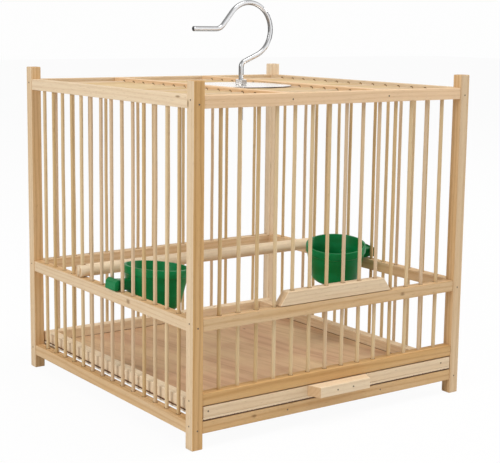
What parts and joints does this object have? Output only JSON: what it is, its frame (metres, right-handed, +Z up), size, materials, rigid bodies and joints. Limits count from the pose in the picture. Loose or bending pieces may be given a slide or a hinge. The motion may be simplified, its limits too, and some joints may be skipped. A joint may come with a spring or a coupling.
{
  "type": "bird cage",
  "caption": "Small square wooden bird cage with round bars, a lift-up barred door, a sliding tray, a perch, hanging green cups and a swivelling wire hook.",
  "frame": {"origin": "ground level in the middle of the four posts, under the hook's shank", "axes": "+Z up, -Y towards the front with the door and the tray's handle, +X to the viewer's right"},
  "size_m": [0.2085, 0.2132, 0.2498],
  "materials": {
    "pale_wood": "sanded, unvarnished",
    "bamboo": "smooth, slightly shiny",
    "tray_wood": "sanded, unvarnished",
    "plywood": "rough thin plywood",
    "steel_brads": "dull",
    "bright_wire": "polished",
    "bright_plate": "polished",
    "green_plastic": "glossy"
  },
  "bodies": {
    "frame": {"post_front_left": "pale_wood", "post_front_right": "pale_wood", "post_rear_left": "pale_wood", "post_rear_right": "pale_wood", "top_rail_front": "pale_wood", "top_rail_rear": "pale_wood", "top_rail_left": "pale_wood", "top_rail_right": "pale_wood", "roof_cross_rail_left": "pale_wood", "roof_cross_rail_right": "pale_wood", "mid_rail_front": "pale_wood", "mid_rail_rear": "pale_wood", "mid_rail_left": "pale_wood", "mid_rail_right": "pale_wood", "bottom_rail_front": "pale_wood", "bottom_rail_rear": "pale_wood", "bottom_rail_left": "pale_wood", "bottom_rail_right": "pale_wood", "tray_lintel_rail": "pale_wood", "tray_runner_left": "pale_wood", "tray_runner_right": "pale_wood", "left_wall_bars": "bamboo", "right_wall_bars": "bamboo", "rear_wall_bars": "bamboo", "front_bars_left": "bamboo", "front_bars_right": "bamboo", "front_sill_bars": "bamboo", "roof_bars": "bamboo", "frame_brads": "steel_brads", "hook_plate": "bright_plate", "hook_lower_washer": "bright_plate"},
    "door": {"door_block": "pale_wood", "door_bars": "bamboo"},
    "tray": {"tray_floor": "plywood", "tray_front_strip": "tray_wood", "tray_left_wall": "tray_wood", "tray_right_wall": "tray_wood", "tray_back_wall": "tray_wood", "tray_handle": "tray_wood", "tray_brads": "steel_brads"},
    "hook": {"hook_wire": "bright_wire", "hook_top_nut": "bright_wire", "hook_lock_nut": "bright_wire"},
    "perch": {"perch": "bamboo"},
    "seed_cup": {"seed_cup": "green_plastic"},
    "water_cup": {"water_cup": "green_plastic"}
  },
  "joints": [
    {"name": "door_lift", "type": "slide", "parent": "frame", "child": "door", "axis": [0, 0, 1], "range_m": [0, 0.105]},
    {"name": "tray_slide", "type": "slide", "parent": "frame", "child": "tray", "axis": [0, -1, 0], "range_m": [0, 0.18]},
    {"name": "hook_swivel", "type": "hinge", "parent": "frame", "child": "hook", "pos_m": [0, 0, 0.2], "axis": [0, 0, 1], "continuous": true},
    {"name": "perch_lift", "type": "slide", "parent": "frame", "child": "perch", "axis": [0, 0, 1], "range_m": [0, 0.1]},
    {"name": "seed_cup_lift", "type": "slide", "parent": "frame", "child": "seed_cup", "axis": [0, 0, 1], "range_m": [0, 0.09]},
    {"name": "water_cup_lift", "type": "slide", "parent": "frame", "child": "water_cup", "axis": [0, 0, 1], "range_m": [0, 0.09]}
  ]
}
